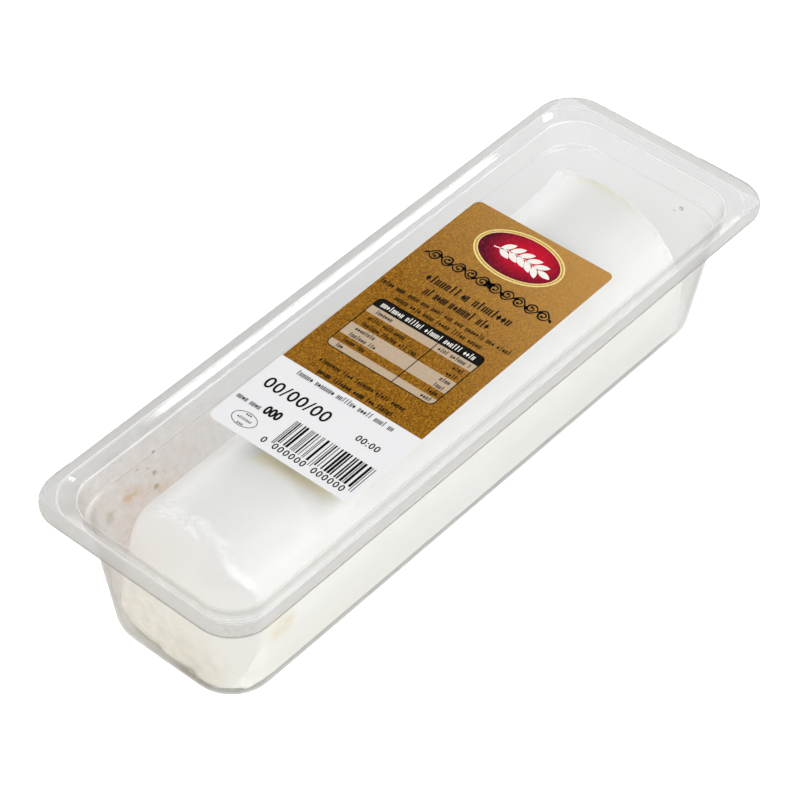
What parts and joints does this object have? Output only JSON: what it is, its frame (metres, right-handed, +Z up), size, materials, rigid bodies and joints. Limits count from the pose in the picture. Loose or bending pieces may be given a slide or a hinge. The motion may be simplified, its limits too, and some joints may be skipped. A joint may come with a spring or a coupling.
{
  "type": "goat cheese log in sealed tray",
  "caption": "White goat cheese log lying in a long clear formed tray, sealed with clear film that carries a flat printed label.",
  "frame": {"origin": "on the surface the pack stands on, under the middle of the tray", "axes": "+X along the log, +Y across the tray, +Z up, out of the printed label"},
  "size_m": [0.21, 0.072, 0.0454],
  "materials": {
    "clear_sheet": "clear thermoformed sheet, glossy",
    "clear_film": "clear lidding film, glossy, slightly wavy",
    "label_paper": "self-adhesive label, grainy gold print over white",
    "goat_cheese": "moist fresh cheese, soft satin"
  },
  "bodies": {
    "root": {"tray": "clear_sheet", "lid_film": "clear_film", "label": "label_paper", "cheese_log": "goat_cheese"}
  },
  "joints": []
}
